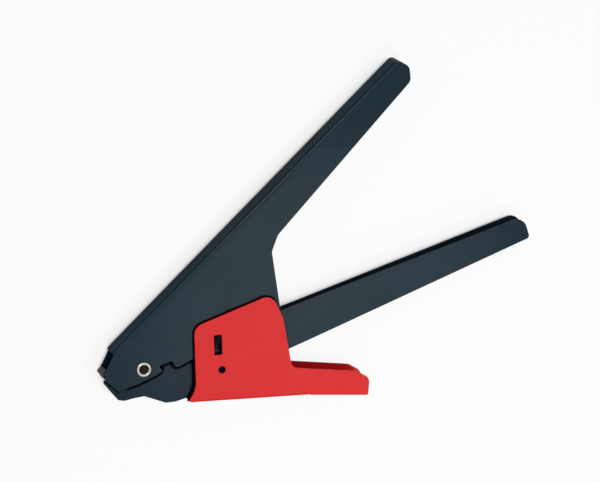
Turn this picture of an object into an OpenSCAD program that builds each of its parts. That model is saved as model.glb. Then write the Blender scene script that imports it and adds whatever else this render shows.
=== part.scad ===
// Cable tie tensioning tool: folded steel body, tension lever, gripper and a cutting trigger.
// Frame: origin on the hollow pivot, X from the nose to the fixed handle's end, Y towards the
// spine, Z across the sheet. Lengths are in millimetres.

/* [Head] */
// Distance from the pivot to the crotch, where the fixed handle begins
head_l = 100; // [92:1:110]
// Width of the folded body across its cheeks
body_w = 14; // [13:0.5:18]
// Sheet thickness of the body
sheet_t = 1.5; // [1.2:0.1:1.8]
// Outside radius of the body's two folds
fold_r = 2.2; // [1.8:0.1:2.6]

/* [Fixed handle] */
// Distance from the pivot to the fixed handle's end
reach = 210; // [180:1:250]
// Depth of the fixed handle at its end
tip_d = 13.5; // [11:0.5:16]

/* [Tension lever] */
// Distance from the pivot to the tension lever's end
lower_reach = 222; // [192:1:258]
// Depth of the tension lever at its end
lower_tip_d = 12.4; // [10.4:0.2:14.4]
// Width of the tension lever at its end
lower_tip_w = 11.4; // [9:0.2:13]
// Sheet thickness of the levers
lever_t = 1.2; // [1:0.1:1.4]

/* [Trigger] */
// Wall of the red trigger cover
cover_t = 1.2; // [0.9:0.1:1.6]
// Width of the slot in the cover
slot_w = 4.4; // [4:0.1:5.2]
// Length of the slot in the cover
slot_l = 11; // [9:0.5:13]
// Radius of the stop pins that stand in the slot
stop_r = 0.9; // [0.7:0.1:1]
// Radius of the round hole in the cover
stud_hole_r = 2; // [1.6:0.1:2.4]

/* [Pivot] */
// Radius of the bore through the hollow pivot
eyelet_bore_r = 2.5; // [2:0.1:2.8]
// Wall of the hollow pivot
eyelet_wall = 0.7; // [0.5:0.1:1]
// Radius of the rolled rims of the hollow pivot
eyelet_rim_r = 4; // [3.8:0.1:4.6]
// Height of each rolled rim over the cheek
eyelet_rim_t = 0.8; // [0.5:0.1:1.1]

/* [Strap and gripper] */
// Wall of the gripper carriage beside the strap
carriage_wall = 0.6; // [0.5:0.05:0.7]
// Thickness of the widest strap
strap_t = 2; // [1.4:0.1:2.2]
// Radius of the strut's pin in the lever
strut_pin_r = 1.6; // [1.2:0.1:1.9]
// Radius of the strut's pin in the carriage
carriage_pin_r = 1.5; // [1.2:0.1:1.6]
// Radius of the pawl's pin
pawl_pin_r = 1.3; // [1:0.1:1.5]
// Number of teeth on the gripping pawl
pawl_teeth = 6; // [4:1:7]

/* [Cutter] */
// Thickness of the cutting blade
blade_t = 1.5; // [1.2:0.1:1.7]
// Radius of the pin that pulls the blade
blade_pin_r = 1.1; // [0.9:0.1:1.3]

/* [Fits] */
// Running clearance of a pin in its bore, on the radius
fit = 0.05; // [0.03:0.01:0.09]
// Gap between neighbouring sheets that move past each other
slip = 0.25; // [0.2:0.05:0.3]

/* [Hidden] */

$fn = 48;
over = 1;
run_out_share = 0.1;
arc_steps = 6;
coil_share = 0.15;
steel_paint = [0.16, 0.21, 0.25];
dark_paint = [0.1, 0.14, 0.17];
bright_steel = [0.72, 0.72, 0.7];
tool_steel = [0.45, 0.46, 0.48];
red_paint = [0.87, 0.22, 0.23];

// Outlines of the head, as shares of its length: x, y and corner radius
nose_shares = [
    [-0.173, 0.017, 0], [-0.133, -0.003, 0.03], [-0.074, -0.035, 0], [0.027, -0.072, 0.02],
    [0.06, -0.079, 0.004], [0.068, -0.048, 0.004], [0.136, -0.077, 0.004], [0.128, -0.116, 0.012],
    [0.14, -0.129, 0.006], [0.73, -0.315, 0.01]
];
nose_top_shares = [[-0.056, 0.19, 0], [-0.056, 0.172, 0], [-0.1, 0.154, 0], [-0.154, 0.137, 0.01],
                   [-0.185, 0.107, 0.02]];
crotch_share = [1, -0.013, 0.06];
crotch_low_share = [0.915, -0.054, 0.04];
cover_shares = [
    [0.044, -0.303, 0.003], [0.1, -0.286, 0.03], [0.135, -0.263, 0.04], [0.343, -0.032, 0.06],
    [0.755, -0.215, 0.06], [0.708, -0.354, 0.12], [0.553, -0.588, 0.045], [0.784, -0.87, 0.045],
    [0.805, -0.948, 0.04], [0.735, -1.01, 0.01], [0.52, -0.772, 0],
    [0.06, -0.327, 0.005]
];
cover_web_shares = [[0.06, -0.327], [0.52, -0.772], [0.735, -1.01]];
cutter_shares = [
    [-0.203, 0.065, 0.006], [-0.21, -0.022, 0.02], [-0.19, -0.05, 0.015], [-0.144, -0.079, 0],
    [-0.1, -0.111, 0.03], [-0.046, -0.224, 0.03], [-0.005, -0.259, 0.02], [0.045, -0.286, 0.01],
    [0.3, -0.517, 0.03], [0.46, -0.512, 0.04], [0.43, -0.327, 0.04], [0.26, -0.109, 0.03],
    [0.14, -0.022, 0.02], [0.05, -0.011, 0], [-0.05, 0, 0], [-0.12, 0.015, 0.02],
    [-0.178, 0.015, 0.01], [-0.188, 0.033, 0], [-0.19, 0.065, 0]
];
cutter_web_shares = [
    [-0.203, 0.065], [-0.21, -0.022], [-0.19, -0.05], [-0.144, -0.079], [-0.1, -0.111],
    [-0.046, -0.224], [-0.005, -0.259], [0.045, -0.286], [0.3, -0.517]
];
lever_root_shares = [
    [-0.05, -0.022, 0.03], [0.03, -0.06, 0.03], [0.2, -0.218, 0.06], [0.45, -0.448, 0.2]
];
lever_back_shares = [[0.62, -0.281, 0.2], [0.3, -0.082, 0.1], [0.1, 0.011, 0.04], [0, 0.057, 0.05]];
lever_low_share = [0.75, -0.574, 0];
lever_web_share = [0.45, -0.448];
slot_share = [0.365, -0.197];
slot_angle = 48;
slot_corner_share = 0.2;
stop_share = [0.38, -0.167];
stud_share = [0.286, -0.31];
strut_share = [0.22, -0.153];
carriage_pin_share = [0.46, 0.013];
blade_share = -0.155;
blade_low_share = 0.037;
blade_top_share = 0.132;
nose_front_share = -0.18;
nose_low_share = 0.024;
nose_high_share = 0.106;
anvil_back_share = -0.075;
guide_lead_share = 0.03;
strut_eye_share = 0.03;
blade_pin_drop_share = -0.017;
spine_share = 0.19;
floor_share = 0.065;
seat_share = 0.845;
lever_angle = -26.9;

far = reach + lower_reach;
spine_y = spine_share * head_l;
floor_y = floor_share * head_l;
body_in = body_w / 2 - sheet_t;
cover_w = body_w + 2 * (cover_t + slip);
cutter_out = body_in - slip;
cutter_in = cutter_out - lever_t;
lever_out = cutter_in - slip;
lever_in = lever_out - lever_t;
strut_half = lever_in - slip;
strap_w = 2 * (body_in - carriage_wall) - 3 * slip;
barrel_r = eyelet_bore_r + eyelet_wall;
lug_r = 0.052 * head_l;
cover_fold_r = 0.9 * cover_t;
lever_fold_r = 0.9 * lever_t;
bush_r = barrel_r + 0.5 * eyelet_wall + fit;

strut_at = strut_share * head_l;
carriage_pin_at = carriage_pin_share * head_l;
stop_at = stop_share * head_l;
stud_at = stud_share * head_l;
slot_at = slot_share * head_l;
blade_x = blade_share * head_l;
blade_pin_y = blade_pin_drop_share * head_l;

lever_dir = [cos(lever_angle), sin(lever_angle)];
lever_side = [-sin(lever_angle), cos(lever_angle)];
lever_tip = lower_reach * lever_dir;
lever_tip_top = lever_tip + lever_side * lower_tip_d / 2;
lever_tip_low = lever_tip - lever_side * lower_tip_d / 2;

// Carriage: its cradle carries the strap, its ears hang under the floor
carriage_x = 0.3 * head_l;
carriage_l = 0.26 * head_l;
carriage_floor_t = 0.012 * head_l;
ear_t = lever_t;
pawl_at = [carriage_x + 0.24 * carriage_l, spine_y - sheet_t - 0.22 * spine_y];
tooth_y = floor_y + strap_t + slip;
pawl_l = 0.42 * carriage_l;
guide_t = 1.1;
guide_w = 1.2;
guide_run = 1.42;
seat_x = seat_share * head_l;
spring_wire_r = 0.4;
coil_wire_r = coil_share * lever_in;
pawl_wire_r = 0.3;

// Helpers for outlines
function unit(v) = v / norm(v);
function cross_z(a, b) = a[0] * b[1] - a[1] * b[0];
function turned(v, a) = [v[0] * cos(a) - v[1] * sin(a), v[0] * sin(a) + v[1] * cos(a)];
function flat(p) = [p[0], p[1]];
function scaled(shares) = [for (p = shares) p * head_l];
function corner(p, q, s, r) =
    let (
        a = unit(p - q),
        b = unit(s - q),
        half = acos(max(-1, min(1, a * b))) / 2,
        cut = min(r / tan(half), 0.48 * min(norm(p - q), norm(s - q))),
        arc_r = cut * tan(half),
        middle = q + unit(a + b) * arc_r / sin(half),
        start = q + a * cut - middle,
        turn = (180 - 2 * half) * (cross_z(a, b) < 0 ? 1 : -1)
    )
    [for (i = [0 : arc_steps]) middle + turned(start, turn * i / arc_steps)];
function rounded(points) =
    let (n = len(points))
    [for (i = [0 : n - 1])
        let (p = flat(points[(i + n - 1) % n]), q = flat(points[i]), s = flat(points[(i + 1) % n]))
        each points[i][2] > 0 ? corner(p, q, s, points[i][2]) : [q]];
function side_of(p, q) = let (d = unit(q - p)) [-d[1], d[0]];
function mitre(points, i) =
    let (
        n = len(points),
        a = side_of(points[max(0, i - 1)], points[max(1, i)]),
        b = side_of(points[min(n - 2, i)], points[min(n - 1, i + 1)])
    )
    (a + b) / (1 + a * b);
// The room inside a folded channel whose web, of thickness t, follows the points
function pocket(web, t) =
    let (
        n = len(web),
        first = web[0] + t * mitre(web, 0) - head_l * run_out_share * unit(web[1] - web[0]),
        last = web[n - 1] + t * mitre(web, n - 1) + head_l * run_out_share * unit(web[n - 1] - web[n - 2])
    )
    concat(
        [first], [for (i = [0 : n - 1]) web[i] + t * mitre(web, i)], [last],
        [[far, last[1]], [far, far], [first[0], far]]
    );

// A folded sheet: the outline across the width w, hollowed between its two cheeks
module channel(outline, inside, w, t) {
    difference() {
        translate([0, 0, -w / 2]) linear_extrude(w) polygon(outline);
        translate([0, 0, t - w / 2]) linear_extrude(w - 2 * t) polygon(inside);
    }
}

// Rounds the outside of a fold; the sheet lies to the left of the way from p to q
module fold(p, q, w, r, lean = 0) {
    way = q - p;
    for (side = [-1, 1])
        translate([p[0], p[1], side * w / 2])
            rotate([0, 0, atan2(way[1], way[0])])
                rotate([0, -side * lean, 0])
                    rotate([90, 0, 90])
                        linear_extrude(norm(way))
                            scale([1, side])
                                difference() {
                                    translate([-over, -r]) square([r + over, r + over]);
                                    translate([r, -r]) circle(r);
                                }
}

// A pin or a bore along Z, centred on the sheet's middle plane
module across(at, r, length) {
    translate([at[0], at[1], -length / 2]) cylinder(r = r, h = length);
}

// A pair of stubs, one on each side, between two distances from the middle plane
module stubs(at, r, near, far) {
    for (side = [0, 1])
        mirror([0, 0, side])
            translate([at[0], at[1], near]) cylinder(r = r, h = far - near);
}

// One unbroken wire wound on a helix along Z
module coil(mean_r, wire_r, length, turns, start) {
    sides = 6;
    per_turn = 14;
    rings = round(turns * per_turn);
    points = [for (i = [0 : rings], k = [0 : sides - 1])
        let (a = start + 360 * i / per_turn, b = 360 * k / sides, r = mean_r + wire_r * cos(b))
        [r * cos(a), r * sin(a), length * i / rings + wire_r * sin(b)]];
    walls = [for (i = [0 : rings - 1], k = [0 : sides - 1])
        let (a = i * sides + k, b = i * sides + (k + 1) % sides)
        each [[a, a + sides, b + sides], [a, b + sides, b]]];
    ends = [for (k = [1 : sides - 2])
        each [[0, k, k + 1], [rings * sides, rings * sides + k + 1, rings * sides + k]]];
    polyhedron(points, concat(walls, ends));
}

spine_front = nose_top_shares[0][0] * head_l;
end_low = [reach - 0.2 * tip_d, spine_y - tip_d];
end_nose = [reach + 0.15 * tip_d, spine_y - 0.55 * tip_d];
body_outline = rounded(concat(
    scaled(nose_shares),
    scaled([crotch_low_share, crotch_share]),
    [concat(end_low, 0.3 * tip_d), concat(end_nose, 0.3 * tip_d), [reach, spine_y, 0.3 * tip_d]],
    scaled(nose_top_shares)
));
body_inside = [
    [spine_front, far], [spine_front, spine_y - sheet_t], [reach - sheet_t, spine_y - sheet_t],
    [end_nose[0] - sheet_t, end_nose[1]], [far, end_nose[1]], [far, -far], [-far, -far], [-far, far]
];

module body_shell() {
    color(steel_paint)
        difference() {
            channel(body_outline, body_inside, body_w, sheet_t);
            fold([reach, spine_y], [spine_front, spine_y], body_w, fold_r);
            across([0, 0], barrel_r, body_w + over);
            across(stop_at, stop_r, body_w + over);
        }
}

module nose_plate() {
    x = blade_x - blade_t / 2 - slip;
    front = nose_front_share * head_l;
    low = nose_low_share * head_l;
    color(dark_paint)
        difference() {
            translate([front, low, -body_in])
                cube([x - front, nose_high_share * head_l - low, 2 * body_in]);
            translate([front - over, floor_y, -strap_w / 2 - slip])
                cube([x - front + 2 * over, strap_t + 2 * slip, strap_w + 2 * slip]);
        }
}

module nose_anvil() {
    x = blade_x + blade_t / 2 + slip;
    back = anvil_back_share * head_l;
    low = nose_low_share * head_l;
    color(dark_paint)
        translate([x, low, -body_in]) cube([back - x, floor_y - low, 2 * body_in]);
}

module pivot_eyelet() {
    roll = (eyelet_rim_r - eyelet_bore_r) / 2;
    color(bright_steel)
        difference() {
            union() {
                across([0, 0], barrel_r, body_w + eyelet_rim_t);
                for (side = [0, 1])
                    mirror([0, 0, side])
                        translate([0, 0, body_w / 2])
                            rotate_extrude()
                                intersection() {
                                    union() {
                                        translate([eyelet_bore_r + roll, eyelet_rim_t - roll]) circle(roll);
                                        translate([eyelet_bore_r, -roll])
                                            square([2 * roll, eyelet_rim_t]);
                                    }
                                    translate([eyelet_bore_r, 0]) square([2 * roll, eyelet_rim_t]);
                                }
            }
            across([0, 0], eyelet_bore_r, body_w + 2 * eyelet_rim_t + 2 * over);
        }
}

module pivot_bush() {
    color(tool_steel)
        difference() {
            across([0, 0], bush_r, 2 * (lever_in - slip));
            across([0, 0], barrel_r, body_w);
        }
}

module stop_pins() {
    color(dark_paint) stubs(stop_at, stop_r, body_in, cover_w / 2 - cover_t / 2);
}

module carriage_guides() {
    x = carriage_x - guide_lead_share * head_l;
    color(dark_paint)
        for (side = [0, 1])
            mirror([0, 0, side])
                translate([x, floor_y - carriage_floor_t - fit - guide_t, body_in - guide_w])
                    cube([guide_run * carriage_l, guide_t, guide_w]);
}

module spring_seat() {
    low = floor_y + strap_t + 4 * slip;
    color(dark_paint)
        translate([seat_x, low, -body_in]) cube([sheet_t, spine_y - sheet_t - low, 2 * body_in]);
}

module torsion(z, start) {
    translate([0, 0, z])
        coil(bush_r + coil_wire_r + slip, coil_wire_r, 3.5 * coil_wire_r, 1.5, start);
}

module lever_return_spring() {
    color(tool_steel) torsion(coil_wire_r + fit, 200);
}

module cutter_return_spring() {
    color(tool_steel) torsion(-4.5 * coil_wire_r - fit, 20);
}

lever_outline = rounded(concat(
    scaled(lever_root_shares),
    scaled([lever_low_share]),
    [concat(lever_tip_low, 0.15 * lower_tip_d), concat(lever_tip_top, 0.6 * lower_tip_d)],
    scaled(lever_back_shares)
));

lever_low = flat(lever_low_share) * head_l;
lever_start = lever_web_share * head_l;
lever_run = lever_tip_low - lever_low;
lever_lean = atan((lower_tip_w / 2 - lever_out) / norm(lever_run));
lever_room = pocket([lever_start, lever_low, lever_tip_low], lever_t);
lever_inside = concat(
    [[-far, -far], [lever_start[0], -far]],
    [for (i = [1 : len(lever_room) - 2]) lever_room[i]],
    [[-far, far]]
);

// A wedge along the web: straight as far as the point lever_low, then leaning out to the tip
module flared(root_half) {
    out = far * tan(lever_lean);
    translate([lever_low[0], lever_low[1], 0])
        rotate([0, 0, atan2(lever_run[1], lever_run[0])])
            rotate([90, 0, 0])
                translate([0, 0, -far])
                    linear_extrude(2 * far)
                        polygon([
                            [-far, -root_half], [0, -root_half], [far, -root_half - out],
                            [far, root_half + out], [0, root_half], [-far, root_half]
                        ]);
}

module tension_lever() {
    color(steel_paint)
        difference() {
            intersection() {
                translate([0, 0, -far]) linear_extrude(2 * far) polygon(lever_outline);
                flared(lever_out);
            }
            intersection() {
                translate([0, 0, -far]) linear_extrude(2 * far) polygon(lever_inside);
                flared(lever_in);
            }
            across([0, 0], barrel_r + fit, body_w);
            across(strut_at, strut_pin_r, body_w);
            fold(lever_low, lever_tip_low, 2 * lever_out, lever_fold_r, lever_lean);
        }
}

module strut_pin() {
    color(tool_steel) across(strut_at, strut_pin_r, 2 * lever_out);
}

module push_strut() {
    way = carriage_pin_at - strut_at;
    eye_r = strut_eye_share * head_l;
    color(tool_steel)
        difference() {
            translate([strut_at[0], strut_at[1], -strut_half])
                rotate([0, 0, atan2(way[1], way[0])])
                    linear_extrude(2 * strut_half) {
                        circle(eye_r);
                        translate([norm(way), 0]) circle(eye_r);
                        translate([0, -0.7 * eye_r]) square([norm(way), 1.4 * eye_r]);
                    }
            across(strut_at, strut_pin_r + fit, body_w);
            across(carriage_pin_at, carriage_pin_r + 2 * slip, body_w);
        }
}

module gripper_carriage() {
    half = body_in - slip;
    top = spine_y - sheet_t - slip;
    low = floor_y - carriage_floor_t;
    ear_r = 2 * carriage_pin_r;
    wall_end = carriage_x + carriage_l;
    color(tool_steel)
        difference() {
            union() {
                translate([carriage_x, low, -half]) cube([carriage_l, carriage_floor_t, 2 * half]);
                for (side = [0, 1])
                    mirror([0, 0, side]) {
                        translate([carriage_x, low, half - carriage_wall])
                            cube([carriage_l, top - low - fold_r / 2, carriage_wall]);
                        translate([carriage_pin_at[0], carriage_pin_at[1], strut_half + slip]) {
                            cylinder(r = ear_r, h = ear_t);
                            translate([-ear_r, 0, 0])
                                cube([2 * ear_r, low - carriage_pin_at[1] + carriage_floor_t / 2, ear_t]);
                        }
                    }
                translate([wall_end - sheet_t, low, -half])
                    cube([sheet_t, top - low - fold_r / 2, 2 * half]);
            }
            across(carriage_pin_at, carriage_pin_r, body_w);
            across(pawl_at, pawl_pin_r, body_w);
            translate([wall_end - sheet_t - over, floor_y, -strap_w / 2])
                cube([sheet_t + 2 * over, strap_t + slip, strap_w]);
        }
}

module carriage_pin() {
    color(tool_steel) across(carriage_pin_at, carriage_pin_r, 2 * (strut_half + slip + ear_t));
}

module pawl_pin() {
    color(tool_steel) across(pawl_at, pawl_pin_r, 2 * (body_in - slip));
}

module gripping_pawl() {
    half = strap_w / 2 - slip;
    spring_gap = 7 * pawl_wire_r;
    eye_r = 2 * pawl_pin_r;
    pitch = pawl_l / pawl_teeth;
    first = pawl_at[0] + pawl_pin_r;
    depth = 0.8 * pitch;
    teeth = [for (i = [0 : pawl_teeth - 1])
        each [[first + i * pitch, tooth_y + depth], [first + i * pitch, tooth_y]]];
    color(bright_steel)
        difference() {
            translate([0, 0, -half]) {
                linear_extrude(2 * half - spring_gap)
                    polygon(concat(
                        [[pawl_at[0] - eye_r * 0.3, pawl_at[1] - eye_r * 0.8]],
                        teeth,
                        [[first + pawl_l, tooth_y + depth], [first + pawl_l, tooth_y + 3 * depth],
                         [pawl_at[0], pawl_at[1] + eye_r * 0.7]]
                    ));
                translate([pawl_at[0], pawl_at[1], 0]) cylinder(r = eye_r, h = 2 * half - spring_gap);
            }
            across(pawl_at, pawl_pin_r + fit, body_w);
        }
}

module pawl_spring() {
    half = strap_w / 2 - slip;
    color(tool_steel)
        translate([pawl_at[0], pawl_at[1], half - 5.8 * pawl_wire_r])
            coil(pawl_pin_r + pawl_wire_r + fit, pawl_wire_r, 4.6 * pawl_wire_r, 2, 90);
}

module carriage_return_spring() {
    start = carriage_x + carriage_l + spring_wire_r + fit;
    mean_r = 0.13 * spine_y;
    y = spine_y - sheet_t - mean_r - spring_wire_r - slip;
    color(tool_steel)
        translate([start, y, 0])
            rotate([0, 90, 0])
                coil(mean_r, spring_wire_r, seat_x - start - spring_wire_r - fit, 9, 0);
}

cutter_outline = rounded(scaled(cutter_shares));

module cutter_lever() {
    web = [for (p = cutter_web_shares) p * head_l];
    color(dark_paint)
        difference() {
            union() {
                channel(cutter_outline, pocket(web, lever_t), 2 * cutter_out, lever_t);
                across([0, 0], lug_r, 2 * cutter_out);
            }
            across([0, 0], lug_r + over, 2 * cutter_in);
            across([0, 0], barrel_r + fit, body_w);
            across([blade_x, blade_pin_y], blade_pin_r, body_w);
            across(stud_at, stud_hole_r - fit, body_w);
        }
}

module cover_studs() {
    color(dark_paint) stubs(stud_at, stud_hole_r - fit, cutter_in, cover_w / 2 - cover_t / 2);
}

slot_outline = rounded([
    for (p = [[-slot_l, -slot_w], [slot_l, -slot_w], [slot_l, slot_w], [-slot_l, slot_w]])
        concat(p / 2, slot_corner_share * slot_w)
]);

module trigger_cover() {
    web = [for (p = cover_web_shares) p * head_l];
    color(red_paint)
        difference() {
            channel(rounded(scaled(cover_shares)), pocket(web, cover_t), cover_w, cover_t);
            for (i = [0 : len(web) - 2]) fold(web[i], web[i + 1], cover_w, cover_fold_r);
            across(stud_at, stud_hole_r, cover_w + over);
            translate([slot_at[0], slot_at[1], -cover_w])
                rotate([0, 0, slot_angle]) linear_extrude(2 * cover_w) polygon(slot_outline);
        }
}

module blade_pin() {
    color(tool_steel) across([blade_x, blade_pin_y], blade_pin_r, 2 * cutter_out);
}

module cutter_blade() {
    half = body_in - slip;
    low = blade_low_share * head_l;
    top = blade_top_share * head_l;
    edge = floor_y + strap_t + 1.5 * slip;
    color(bright_steel)
        difference() {
            translate([blade_x - blade_t / 2, low, -half]) cube([blade_t, top - low, 2 * half]);
            translate([blade_x - blade_t / 2 - over, floor_y - slip, -strap_w / 2 - slip / 2])
                cube([blade_t + 2 * over, edge - floor_y + slip, strap_w + slip]);
            translate([blade_x - blade_t / 2 - slip, edge, -half - over])
                rotate([0, 0, 50]) cube([blade_t, blade_t, 2 * half + 2 * over]);
        }
}

module blade_carrier() {
    eye = blade_pin_r + 2.5 * slip;
    half = lever_in;
    top = blade_low_share * head_l;
    color(tool_steel)
        difference() {
            union() {
                across([blade_x, blade_pin_y], eye + 0.7 * lever_t, 2 * half);
                translate([blade_x - blade_t / 2, blade_pin_y, -half])
                    cube([blade_t, top - blade_pin_y, 2 * half]);
            }
            across([blade_x, blade_pin_y], eye, body_w);
        }
}

body_shell();
nose_plate();
nose_anvil();
pivot_eyelet();
pivot_bush();
stop_pins();
carriage_guides();
spring_seat();
lever_return_spring();
cutter_return_spring();
tension_lever();
strut_pin();
push_strut();
gripper_carriage();
carriage_pin();
pawl_pin();
gripping_pawl();
pawl_spring();
carriage_return_spring();
cutter_lever();
cover_studs();
trigger_cover();
blade_pin();
cutter_blade();
blade_carrier();
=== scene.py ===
"""Cable tie tensioning tool: materials, small trim, floor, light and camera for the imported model."""
import math

import bmesh
import bpy
from mathutils import Matrix, Vector


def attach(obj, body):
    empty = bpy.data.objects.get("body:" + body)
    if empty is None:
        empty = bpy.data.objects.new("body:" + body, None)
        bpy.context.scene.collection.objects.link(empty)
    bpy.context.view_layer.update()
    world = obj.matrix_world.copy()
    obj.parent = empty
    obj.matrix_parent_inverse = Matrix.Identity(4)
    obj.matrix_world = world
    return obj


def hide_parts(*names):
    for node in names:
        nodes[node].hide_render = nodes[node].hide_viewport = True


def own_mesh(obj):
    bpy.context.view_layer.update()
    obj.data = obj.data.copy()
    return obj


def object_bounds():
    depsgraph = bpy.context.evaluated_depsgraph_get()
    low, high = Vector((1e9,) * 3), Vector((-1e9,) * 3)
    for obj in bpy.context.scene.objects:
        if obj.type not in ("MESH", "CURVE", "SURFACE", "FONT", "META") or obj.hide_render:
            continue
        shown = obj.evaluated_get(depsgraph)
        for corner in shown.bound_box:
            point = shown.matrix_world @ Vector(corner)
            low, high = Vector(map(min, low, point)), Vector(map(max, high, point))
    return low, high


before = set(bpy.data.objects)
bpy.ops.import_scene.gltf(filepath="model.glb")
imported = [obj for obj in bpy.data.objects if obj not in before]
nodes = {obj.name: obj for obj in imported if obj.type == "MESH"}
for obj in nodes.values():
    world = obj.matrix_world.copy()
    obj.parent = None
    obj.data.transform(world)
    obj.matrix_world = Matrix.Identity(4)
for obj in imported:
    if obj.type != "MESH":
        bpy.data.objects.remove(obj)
cad_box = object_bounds()
MM = 0.001


# ---- materials ----
class Shader:
    """A node material built step by step, with patterns that lie in the object's own coordinates."""

    def __init__(self, name):
        self.material = bpy.data.materials.new(name)
        self.material.use_nodes = True
        self.tree = self.material.node_tree
        self.bsdf = self.tree.nodes["Principled BSDF"]
        self.place = self.add("ShaderNodeTexCoord").outputs["Object"]

    def add(self, kind, **settings):
        node = self.tree.nodes.new(kind)
        for key, value in settings.items():
            setattr(node, key, value)
        return node

    def link(self, source, target):
        self.tree.links.new(source, target)

    def put(self, socket, value):
        """Links a node's output to the socket, or sets the socket's constant."""
        if hasattr(value, "links"):
            self.link(value, socket)
        else:
            socket.default_value = value

    def stretched(self, scale):
        """Coordinates for a noise that is drawn out along the axes with a small scale."""
        mapping = self.add("ShaderNodeMapping")
        self.link(self.place, mapping.inputs["Vector"])
        mapping.inputs["Scale"].default_value = scale
        return mapping.outputs["Vector"]

    def noise(self, scale, detail, rough=0.55, vector=None):
        node = self.add("ShaderNodeTexNoise")
        self.link(vector or self.place, node.inputs["Vector"])
        node.inputs["Scale"].default_value = scale
        node.inputs["Detail"].default_value = detail
        node.inputs["Roughness"].default_value = rough
        return node.outputs["Fac"]

    def span(self, value, low, high, to_low=0.0, to_high=1.0):
        """The value's range from low to high, mapped to another range and held at both ends."""
        node = self.add("ShaderNodeMapRange", clamp=True)
        self.link(value, node.inputs["Value"])
        for key, number in zip(("From Min", "From Max", "To Min", "To Max"), (low, high, to_low, to_high)):
            node.inputs[key].default_value = number
        return node.outputs["Result"]

    def math(self, operation, a, b):
        node = self.add("ShaderNodeMath", operation=operation, use_clamp=operation in ("MULTIPLY", "ADD"))
        self.put(node.inputs[0], a)
        self.put(node.inputs[1], b)
        return node.outputs["Value"]

    def mix(self, factor, a, b):
        """Colour a where the factor is 0 and b where it is 1."""
        node = self.add("ShaderNodeMix", data_type="RGBA")
        self.put(node.inputs["Factor"], factor)
        self.put(node.inputs["A"], a)
        self.put(node.inputs["B"], b)
        return node.outputs["Result"]

    def rounded(self, radius):
        """The normals of the same surface with its edges rounded."""
        node = self.add("ShaderNodeBevel", samples=6)
        node.inputs["Radius"].default_value = radius
        return node.outputs["Normal"]

    def edges(self, radius, low, high):
        """1 along the edges of the sheet and 0 on its faces."""
        geometry = self.add("ShaderNodeNewGeometry")
        dot = self.add("ShaderNodeVectorMath", operation="DOT_PRODUCT")
        self.link(self.rounded(radius), dot.inputs[0])
        self.link(geometry.outputs["Normal"], dot.inputs[1])
        return self.span(dot.outputs["Value"], low, high, 1.0, 0.0)

    def open_sky(self, distance, low, high, most=1.0):
        """0 deep in a gap or channel and the most on open faces."""
        node = self.add("ShaderNodeAmbientOcclusion", samples=8)
        node.inputs["Distance"].default_value = distance
        return self.span(node.outputs["AO"], low, high, 0.0, most)

    def inside(self, centre, half, soft):
        """1 within a box round a place in millimetres, any height, and 0 outside it, with a soft border."""
        shift = self.add("ShaderNodeVectorMath", operation="SUBTRACT")
        self.link(self.place, shift.inputs[0])
        shift.inputs[1].default_value = (centre[0] * MM, centre[1] * MM, 0.0)
        size = self.add("ShaderNodeVectorMath", operation="ABSOLUTE")
        self.link(shift.outputs["Vector"], size.inputs[0])
        axes = self.add("ShaderNodeSeparateXYZ")
        self.link(size.outputs["Vector"], axes.inputs["Vector"])
        within = [self.span(axes.outputs[axis], (reach - soft) * MM, reach * MM, 1.0, 0.0)
                  for axis, reach in zip("XY", half)]
        return self.math("MULTIPLY", *within)

    def bump(self, height, distance, normal):
        node = self.add("ShaderNodeBump")
        self.link(height, node.inputs["Height"])
        node.inputs["Distance"].default_value = distance
        node.inputs["Strength"].default_value = 1.0
        self.link(normal, node.inputs["Normal"])
        return node.outputs["Normal"]


def rgb(r, g, b):
    """A linear colour from sRGB bytes."""
    values = [v / 255 for v in (r, g, b)]
    return tuple(v / 12.92 if v <= 0.04045 else ((v + 0.055) / 1.055) ** 2.4 for v in values) + (1.0,)


NAVY_DARK, NAVY_LIGHT = rgb(19, 39, 50), rgb(25, 45, 56)
# Painted shade: the navy enamel's colour deep in a gap
NAVY_PAINTED_SHADE = rgb(3, 5, 8)  # navy enamel deep in a gap
# Painted shade: near black where the red cover's slot shows the cheek beneath
SLOT_PAINTED_SHADE = rgb(2, 1, 1)
SPECK = rgb(60, 52, 44)
DULL_PLATING = rgb(132, 122, 90)  # plating deep in a bore or gap, where light hardly comes
COAT_ROUGHNESS = 0.16
# Painted shade in gaps: reach of a gap in millimetres, and how open a place is where the painted shade is
# full (fully dark) and where there is none (fully light)
PAINT_SHADE_GAP = (4.0, 0.5, 0.84)
# On the cutter's paint the painted shade reaches farther out, as a dark line beside the cheek's edge
CUTTER_SHADE_GAP = (4.0, 0.7, 0.88)
# Centre, half size and soft border, in millimetres, of the patch under the red cover's slot that is painted
# near black as shade
SLOT_SHADE_PATCH = ((42.0, -18.0), (13.0, 9.0), 2.0)


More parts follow.
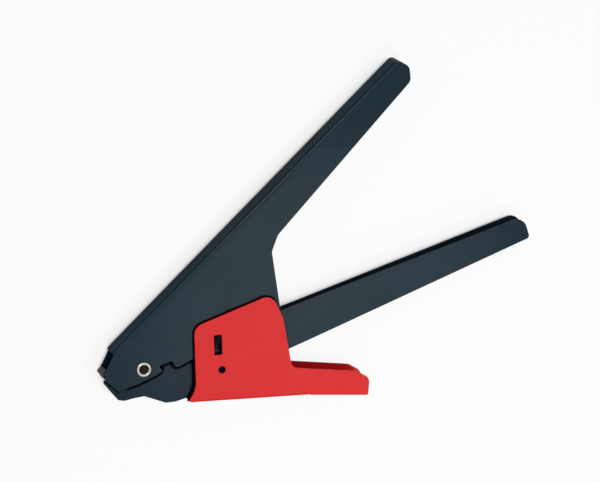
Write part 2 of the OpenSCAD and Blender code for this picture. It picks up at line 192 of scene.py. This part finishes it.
def paint(name, dark, light, worn, deep, rough, wear, gloss, coat, gap=PAINT_SHADE_GAP, slot_shade=None):
    """Stove enamel on folded sheet: mottled, with orange peel, painted shade in gaps and rubbed along edges.
    """
    s = Shader(name)
    cloud = s.span(s.noise(scale=38.0, detail=5.0), 0.3, 0.7)
    body = s.mix(cloud, dark, light)
    reach, closed, opened = gap
    # Painted shade: the colour goes to the deep colour where ambient occlusion is low, in gaps and channels
    body = s.mix(s.open_sky(reach * MM, closed, opened), deep, body)
    rub = s.math("MULTIPLY", s.edges(radius=0.45 * MM, low=0.55, high=0.97),
                 s.span(s.noise(scale=260.0, detail=3.0), 0.38, 0.6))
    body = s.mix(s.math("MULTIPLY", rub, wear), body, worn)
    s.bsdf.inputs["Coat Weight"].default_value = coat
    # Painted shade: a near-black patch with no coat where the cheek shows through the red cover's slot
    if slot_shade:
        slot_shade_mask = s.inside(*slot_shade)
        body = s.mix(slot_shade_mask, body, SLOT_PAINTED_SHADE)
        s.put(s.bsdf.inputs["Coat Weight"], s.span(slot_shade_mask, 0.0, 1.0, coat, 0.0))
    s.put(s.bsdf.inputs["Base Color"], body)
    s.bsdf.inputs["Specular IOR Level"].default_value = gloss
    scuff = s.span(s.noise(scale=900.0, detail=6.0, vector=s.stretched((1.0, 0.18, 1.0))), 0.35, 0.75)
    s.put(s.bsdf.inputs["Roughness"], s.span(scuff, 0.0, 1.0, rough - 0.05, rough + 0.09))
    s.bsdf.inputs["Coat Roughness"].default_value = COAT_ROUGHNESS
    peel = s.noise(scale=1500.0, detail=2.0, rough=0.4)
    s.put(s.bsdf.inputs["Normal"], s.bump(peel, distance=0.012 * MM, normal=s.rounded(0.35 * MM)))
    return s.material


def steel(name, dark, light, rough, grain, spots):
    """Bare or plated steel: brushed grain, patches of duller plating and small dark specks."""
    s = Shader(name)
    patch = s.span(s.noise(scale=120.0, detail=4.0), 0.35, 0.65)
    base = s.mix(patch, dark, light)
    speck = s.math("MULTIPLY", s.span(s.noise(scale=1400.0, detail=2.0), 0.62, 0.72), spots)
    base = s.mix(speck, base, SPECK)
    clean = s.open_sky(3 * MM, 0.05, 0.5)
    s.put(s.bsdf.inputs["Base Color"], s.mix(clean, DULL_PLATING, base))
    s.put(s.bsdf.inputs["Metallic"], s.span(clean, 0.0, 1.0, 0.15, 1.0))
    lines = s.noise(scale=2200.0, detail=3.0, vector=s.stretched(grain))
    s.put(s.bsdf.inputs["Roughness"], s.span(lines, 0.3, 0.7, rough - 0.07, rough + 0.1))
    s.put(s.bsdf.inputs["Normal"], s.bump(lines, distance=0.006 * MM, normal=s.rounded(0.2 * MM)))
    return s.material


# deep is the colour of the painted shade in gaps
PAINTS = {
    "body_paint": dict(dark=NAVY_DARK, light=NAVY_LIGHT, worn=rgb(112, 124, 130), deep=NAVY_PAINTED_SHADE,
                       rough=0.46, wear=0.7, gloss=0.034, coat=0.04, slot_shade=SLOT_SHADE_PATCH),
    "lever_paint": dict(dark=NAVY_DARK, light=NAVY_LIGHT, worn=rgb(96, 108, 115), deep=NAVY_PAINTED_SHADE,
                        rough=0.46, wear=0.7, gloss=0.034, coat=0.04),
    "cutter_paint": dict(dark=rgb(17, 36, 47), light=rgb(23, 42, 53), worn=rgb(92, 100, 106), deep=NAVY_PAINTED_SHADE,
                         rough=0.46, wear=0.7, gloss=0.03, coat=0.03, gap=CUTTER_SHADE_GAP),
    "red_paint": dict(dark=rgb(216, 22, 25), light=rgb(222, 30, 33), worn=rgb(238, 96, 90),
                      deep=rgb(104, 6, 6), rough=0.45, wear=0.4, gloss=0.06, coat=0.04),
    "nose_paint": dict(dark=rgb(44, 48, 52), light=rgb(52, 56, 60), worn=rgb(120, 122, 122),
                       deep=rgb(6, 7, 8), rough=0.5, wear=0.8, gloss=0.15, coat=0.05),
    # Near black: the finish of the stop pins and cover studs, which show in the slot and hole, and on the
    # trim strips a painted shadow line
    "near_black_and_painted_shade": dict(dark=rgb(5, 7, 10), light=rgb(8, 10, 13), worn=rgb(20, 23, 26), deep=rgb(2, 3, 4),
                  rough=0.65, wear=0.3, gloss=0.015, coat=0.0),
}
STEELS = {
    "bright_steel": dict(dark=rgb(134, 130, 119), light=rgb(160, 156, 145), rough=0.4,
                         grain=(1.0, 1.0, 0.1), spots=0.5),
    "tool_steel": dict(dark=rgb(112, 112, 112), light=rgb(140, 139, 137), rough=0.38,
                       grain=(1.0, 0.2, 1.0), spots=0.3),
    "spring_steel": dict(dark=rgb(128, 130, 132), light=rgb(156, 156, 154), rough=0.3,
                         grain=(1.0, 1.0, 0.3), spots=0.0),
    "dark_steel": dict(dark=rgb(34, 36, 38), light=rgb(52, 54, 56), rough=0.48,
                       grain=(1.0, 0.3, 1.0), spots=0.2),
}
materials = {name: paint(name, **settings) for name, settings in PAINTS.items()}
materials.update({name: steel(name, **settings) for name, settings in STEELS.items()})
FINISH = {
    "body_shell": "body_paint",
    "nose_plate": "cutter_paint",
    "nose_anvil": "dark_steel",
    "pivot_eyelet": "bright_steel",
    "pivot_bush": "tool_steel",
    "stop_pins": "near_black_and_painted_shade",
    "carriage_guides": "dark_steel",
    "spring_seat": "dark_steel",
    "lever_return_spring": "spring_steel",
    "cutter_return_spring": "spring_steel",
    "tension_lever": "lever_paint",
    "strut_pin": "tool_steel",
    "push_strut": "dark_steel",
    "gripper_carriage": "dark_steel",
    "carriage_pin": "tool_steel",
    "pawl_pin": "tool_steel",
    "gripping_pawl": "tool_steel",
    "pawl_spring": "spring_steel",
    "carriage_return_spring": "spring_steel",
    "cutter_lever": "cutter_paint",
    "cover_studs": "near_black_and_painted_shade",
    "trigger_cover": "red_paint",
    "blade_pin": "cutter_paint",
    "cutter_blade": "tool_steel",
    "blade_carrier": "dark_steel",
}
for name, obj in nodes.items():
    for slot in obj.material_slots:
        slot.material = materials[FINISH[name]]


# ---- trim: dark strips painted as shadow lines under the red cover and the cheeks, blade guide, hook pad and return spring ----
# Each dark strip paints a shadow line along an outline between two places, from a little under it to a little
# outside it
COVER_OUT_MM = 0.9
COVER_UNDER_MM = 1.3
COVER_Z_MM = (7.04, 7.22)
COVER_FRONT_MM = (4.6, -30.4)
COVER_BACK_MM = (73.8, -26.7)
CHEEK_OUT_MM = 1.9
CHEEK_UNDER_MM = 1.0
CHEEK_Z_MM = (5.31, 5.44)
CHEEK_FRONT_MM = (-13.3, -0.3)
CHEEK_BACK_MM = (14.15, -12.95)
CHEEK_TAIL_MM = (26.5, -16.84)
CHEEK_LEAST_STEP_MM = 0.4
# The two blocks: an outline seen from the near side, half the width and the round of the edges
BLADE_GUIDE_MM = [(-17.9, 10.75), (-17.9, 13.9), (-17.4, 14.4), (-14.3, 14.4), (-13.9, 14.0),
                  (-13.9, 10.3), (-14.55, 10.3), (-14.55, 13.4), (-16.45, 13.4), (-16.45, 10.75)]
BLADE_GUIDE_HALF_MM = 5.45
BLADE_GUIDE_ROUND_MM = 0.2
HOOK_PAD_MM = [(-20.2, 0.6), (-20.5, 4.6), (-20.2, 6.4), (-19.6, 7.2), (-18.9, 7.3), (-18.3, 6.7),
               (-18.13, 5.0), (-18.13, 2.0), (-18.7, 0.6)]
HOOK_PAD_HALF_MM = 6.1
HOOK_PAD_ROUND_MM = 0.45
SPRING_AXIS_MM = (14.38, 0.0)  # its Y and Z
SPRING_FROM_MM, SPRING_TO_MM = 56.5, 84.0
SPRING_MEAN_R_MM = 2.47
SPRING_WIRE_R_MM = 0.4
SPRING_TURNS = 9
SPRING_CLOSED_PITCH_MM = SPRING_WIRE_R_MM * 2.05  # a hair over the wire's thickness
SPRING_STEPS_PER_TURN = 24
SPRING_WIRE_SIDES = 10
# Tolerances for reading an outline from a mesh
WELD_M = 1e-6
LEVEL_M = 1e-5
FLAT_NORMAL_Z = 0.99


def outer_outline(obj):
    """The longest edge loop round the node's outermost flat face, as points in millimetres."""
    mesh = bmesh.new()
    mesh.from_mesh(obj.data)
    bmesh.ops.remove_doubles(mesh, verts=mesh.verts, dist=WELD_M)
    top = max(v.co.z for v in mesh.verts)
    flat = {f for f in mesh.faces
            if f.normal.z > FLAT_NORMAL_Z and all(abs(v.co.z - top) < LEVEL_M for v in f.verts)}
    near = {}
    for edge in mesh.edges:
        if sum(f in flat for f in edge.link_faces) == 1:
            a, b = edge.verts
            near.setdefault(a, []).append(b)
            near.setdefault(b, []).append(a)
    loops = []
    for start in sorted(near, key=lambda v: (v.co.x, v.co.y)):
        if any(start in loop for loop in loops):
            continue
        loop = [start]
        while True:
            after = [v for v in near[loop[-1]] if v not in loop]
            if not after:
                break
            loop.append(after[0])
        loops.append(loop)
    points = [(v.co.x / MM, v.co.y / MM) for v in max(loops, key=len)]
    mesh.free()
    return points


def run_between(points, first, last):
    """The shorter stretch of a closed outline from one place to another."""
    def nearest(place):
        return min(range(len(points)), key=lambda i: math.dist(points[i], place))

    i, j, n = nearest(first), nearest(last), len(points)
    ways = [[points[(i + step * k) % n] for k in range((step * (j - i)) % n + 1)] for step in (1, -1)]
    return min(ways, key=lambda way: sum(math.dist(a, b) for a, b in zip(way, way[1:])))


def spaced(points, least):
    """The points that lie at least a distance apart."""
    out = [points[0]]
    for point in points[1:]:
        if math.dist(point, out[-1]) >= least:
            out.append(point)
    return out


def offset(points, distance):
    """The same line moved to its left by a distance."""
    out = []
    for i, (x, y) in enumerate(points):
        x0, y0 = points[max(0, i - 1)]
        x1, y1 = points[min(len(points) - 1, i + 1)]
        length = math.hypot(x1 - x0, y1 - y0)
        out.append((x - (y1 - y0) / length * distance, y + (x1 - x0) / length * distance))
    return out


def new_piece(name, verts, faces, material, body, round_mm=0.0):
    """A piece from points in millimetres, with its faces turned outwards and its edges rounded if asked."""
    mesh = bpy.data.meshes.new(name)
    mesh.from_pydata([tuple(v * MM for v in vert) for vert in verts], [], faces)
    mesh.materials.append(materials[material])
    shape = bmesh.new()
    shape.from_mesh(mesh)
    bmesh.ops.recalc_face_normals(shape, faces=shape.faces)
    if round_mm:
        bmesh.ops.bevel(shape, geom=shape.edges[:], offset=round_mm * MM, segments=3, profile=0.5,
                        affect="EDGES")
    shape.to_mesh(mesh)
    shape.free()
    obj = bpy.data.objects.new(name, mesh)
    bpy.context.collection.objects.link(obj)
    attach(obj, body)
    return obj


def painted_shadow_strips(name, line, inner, outer, z_mm, body):
    """A flat dark band beside a line, painted as a shadow line, from an inner to an outer offset, on the near
    and on the far side.
    """
    n = len(line)
    rows = [offset(line, inner), offset(line, outer)]
    faces = []
    for i in range(n - 1):
        a, b, c, d = i, i + 1, n + i + 1, n + i
        faces += [(a, b, c, d), (2 * n + a, 2 * n + d, 2 * n + c, 2 * n + b),
                  (a, 2 * n + a, 2 * n + b, b), (d, c, 2 * n + c, 2 * n + d)]
    faces += [(0, n, 3 * n, 2 * n), (n - 1, 3 * n - 1, 4 * n - 1, 2 * n - 1)]
    for label, turn in (("near", 1), ("far", -1)):
        heights = sorted(turn * z for z in z_mm)
        verts = [(x, y, z) for z in heights for row in rows for x, y in row]
        new_piece(name + "_" + label, verts, faces, "near_black_and_painted_shade", body)


def block(name, outline, half, round_mm, material, body):
    """An outline across the tool's width, with all its edges rounded."""
    n = len(outline)
    verts = [(x, y, z) for z in (-half, half) for x, y in outline]
    faces = [tuple(range(n)), tuple(range(2 * n - 1, n - 1, -1))]
    faces += [(i, n + i, n + (i + 1) % n, (i + 1) % n) for i in range(n)]
    new_piece(name, verts, faces, material, body, round_mm)


def coil(name, material, body):
    """The return spring's round wire along X, with its end turns closed."""
    sides = SPRING_WIRE_SIDES
    rings = SPRING_TURNS * SPRING_STEPS_PER_TURN
    lead = SPRING_CLOSED_PITCH_MM
    free = SPRING_TO_MM - SPRING_FROM_MM - 2 * lead
    verts = []
    for i in range(rings + 1):
        turn = i / SPRING_STEPS_PER_TURN
        x = SPRING_FROM_MM + lead * min(turn, 1.0) + lead * max(0.0, turn - SPRING_TURNS + 1)
        x += free * min(max((turn - 1.0) / (SPRING_TURNS - 2.0), 0.0), 1.0)
        a = 2 * math.pi * turn
        for k in range(sides):
            b = 2 * math.pi * k / sides
            r = SPRING_MEAN_R_MM + SPRING_WIRE_R_MM * math.cos(b)
            verts.append((x + SPRING_WIRE_R_MM * math.sin(b), SPRING_AXIS_MM[0] + r * math.cos(a),
                          SPRING_AXIS_MM[1] + r * math.sin(a)))
    faces = []
    for i in range(rings):
        ring, after = i * sides, (i + 1) * sides
        faces += [(ring + k, after + k, after + (k + 1) % sides, ring + (k + 1) % sides)
                  for k in range(sides)]
    faces += [tuple(range(sides)), tuple(rings * sides + k for k in reversed(range(sides)))]
    obj = new_piece(name, verts, faces, material, body)
    for face in obj.data.polygons:
        face.use_smooth = len(face.vertices) == 4
    return obj


# Painted shadow lines: near-black strips along the red cover's edge and below the cheek's edge
cover_shadow_line = run_between(outer_outline(nodes["trigger_cover"]), COVER_FRONT_MM, COVER_BACK_MM)
painted_shadow_strips("cover_shadow_line", cover_shadow_line, -COVER_UNDER_MM, COVER_OUT_MM, COVER_Z_MM, "trigger")
cheek_shadow_line = run_between(outer_outline(nodes["body_shell"]), CHEEK_FRONT_MM, CHEEK_BACK_MM)
cheek_shadow_line = spaced(cheek_shadow_line, CHEEK_LEAST_STEP_MM) + [CHEEK_TAIL_MM]
painted_shadow_strips("cheek_shadow_line", cheek_shadow_line, CHEEK_UNDER_MM, -CHEEK_OUT_MM, CHEEK_Z_MM, "frame")
block("blade_guide", BLADE_GUIDE_MM, BLADE_GUIDE_HALF_MM, BLADE_GUIDE_ROUND_MM,
      "nose_paint", "frame")
block("hook_pad", HOOK_PAD_MM, HOOK_PAD_HALF_MM, HOOK_PAD_ROUND_MM, "cutter_paint", "trigger")
return_coil = coil("return_coil", "spring_steel", "frame")
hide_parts("carriage_return_spring")
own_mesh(return_coil)


# ---- stage: floor, world, camera, lamps ----
WHITE = (1.0, 1.0, 1.0, 1.0)
PAPER = (0.93, 0.93, 0.93, 1.0)
FLOOR_GLOW_SHARE = 0.88  # of what the camera sees of the floor; the rest is paper in the lamps' light
FLOOR_HALF_M = 3.0
FLOOR_DROP_MM = 0.05
SKY_LIGHT = 0.5  # strength on the tool
SKY_SEEN = 0.97  # strength as the camera and reflections see it


def floor_material():
    """Pale paper that looks near white to the camera and in reflections, and darkens close under the tool as
    a painted shadow.
    """
    s = Shader("floor_paper")
    s.bsdf.inputs["Base Color"].default_value = PAPER
    s.bsdf.inputs["Roughness"].default_value = 0.9
    s.bsdf.inputs["Specular IOR Level"].default_value = 0.1
    glow = s.add("ShaderNodeEmission")
    glow.inputs["Color"].default_value = WHITE
    path = s.add("ShaderNodeLightPath")
    # Painted shadow: the glow fades close round the tool where ambient occlusion is low
    s.put(glow.inputs["Strength"], s.open_sky(12 * MM, 0.25, 0.55))
    # Reflections see a weaker glow that fades farther out round the tool, a painted shadow that the sheet
    # mirrors
    mirrored_with_painted_shadow = s.math("MULTIPLY", path.outputs["Is Glossy Ray"], s.open_sky(30 * MM, 0.5, 0.95, most=0.4))
    seen = s.math("MAXIMUM", path.outputs["Is Camera Ray"], mirrored_with_painted_shadow)
    blend = s.add("ShaderNodeMixShader")
    s.link(s.math("MULTIPLY", seen, FLOOR_GLOW_SHARE), blend.inputs["Fac"])
    s.link(s.bsdf.outputs["BSDF"], blend.inputs[1])
    s.link(glow.outputs["Emission"], blend.inputs[2])
    s.link(blend.outputs["Shader"], s.tree.nodes["Material Output"].inputs["Surface"])
    return s.material


floor_z = cad_box[0][2] - FLOOR_DROP_MM * MM
corners = [(x * FLOOR_HALF_M, y * FLOOR_HALF_M, floor_z) for x, y in ((-1, -1), (1, -1), (1, 1), (-1, 1))]
floor_mesh = bpy.data.meshes.new("floor")
floor_mesh.from_pydata(corners, [], [(0, 1, 2, 3)])
floor = bpy.data.objects.new("floor", floor_mesh)
floor_mesh.materials.append(floor_material())
bpy.context.collection.objects.link(floor)

world = bpy.data.worlds.new("studio")
bpy.context.scene.world = world
world.use_nodes = True
sky_nodes, sky_links = world.node_tree.nodes, world.node_tree.links
sky = sky_nodes["Background"]
sky.inputs["Color"].default_value = WHITE
sky_path = sky_nodes.new("ShaderNodeLightPath")
sky_seen = sky_nodes.new("ShaderNodeMath")
sky_seen.operation = "MAXIMUM"
sky_links.new(sky_path.outputs["Is Camera Ray"], sky_seen.inputs[0])
sky_links.new(sky_path.outputs["Is Glossy Ray"], sky_seen.inputs[1])
sky_strength = sky_nodes.new("ShaderNodeMapRange")
sky_links.new(sky_seen.outputs["Value"], sky_strength.inputs["Value"])
sky_strength.inputs["To Min"].default_value = SKY_LIGHT
sky_strength.inputs["To Max"].default_value = SKY_SEEN
sky_links.new(sky_strength.outputs["Result"], sky.inputs["Strength"])

# The camera looks along -back at the target, with up upwards in the picture
LEAN = (0.2733, -0.2078)  # the object's Z axis in the picture, rightwards and upwards
ROLL = math.radians(44.92)
AIM = Vector((0.0905, -0.038, 0.0))  # the place on the tool that shows at CENTRE_PX
CENTRE_PX = (307.92, 291.03)
PX_PER_M = 1877.8
DISTANCE_M = 1.887
SIZE_PX = (600, 482)
SENSOR_MM = 36.0

z_seen = Vector((LEAN[0], LEAN[1], math.sqrt(1 - LEAN[0] ** 2 - LEAN[1] ** 2)))
x_seen = Vector((math.cos(ROLL), math.sin(ROLL), 0.0))
x_seen = (x_seen - x_seen.dot(z_seen) * z_seen).normalized()
y_seen = z_seen.cross(x_seen)
right, up, back = (Vector((x_seen[i], y_seen[i], z_seen[i])) for i in range(3))
off_px = (SIZE_PX[0] / 2 - CENTRE_PX[0], SIZE_PX[1] / 2 - CENTRE_PX[1])
target = AIM + right * off_px[0] / PX_PER_M - up * off_px[1] / PX_PER_M


def facing(place, x_axis, y_axis, z_axis):
    """The matrix of an object at a place, with its own axes along three directions."""
    turn = Matrix((x_axis, y_axis, z_axis)).transposed().to_4x4()
    return Matrix.Translation(place) @ turn


def soft_lamp(name, direction, distance, size, power):
    """A square softbox that shines on the tool from a direction given as right, up, back in the picture."""
    lamp = bpy.data.lights.new(name, "AREA")
    lamp.size = size
    lamp.energy = power
    obj = bpy.data.objects.new(name, lamp)
    bpy.context.collection.objects.link(obj)
    away = (right * direction[0] + up * direction[1] + back * direction[2]).normalized()
    across = away.cross(up).normalized()
    obj.matrix_world = facing(target + away * distance, across, away.cross(across), away)
    return obj


soft_lamp("key", direction=(0.51, -0.455, 0.76), distance=0.637, size=0.23, power=1.8)
# Lights nothing and shows only in reflections, where it draws the light line along the near fold
glint = soft_lamp("glint", direction=(-0.16, 0.27, 0.95), distance=0.9, size=0.4, power=9.0)
glint.visible_diffuse = False

camera = bpy.data.cameras.new("camera")
camera.sensor_fit = "HORIZONTAL"
camera.sensor_width = SENSOR_MM
camera.lens = SENSOR_MM * PX_PER_M * DISTANCE_M / SIZE_PX[0]
camera.clip_start = 0.01
camera.clip_end = 20.0
camera_object = bpy.data.objects.new("camera", camera)
bpy.context.collection.objects.link(camera_object)
camera_object.matrix_world = facing(target + back * DISTANCE_M, right, up, back)
bpy.context.scene.camera = camera_object

bpy.context.scene.view_settings.view_transform = "Standard"

bpy.context.view_layer.update()
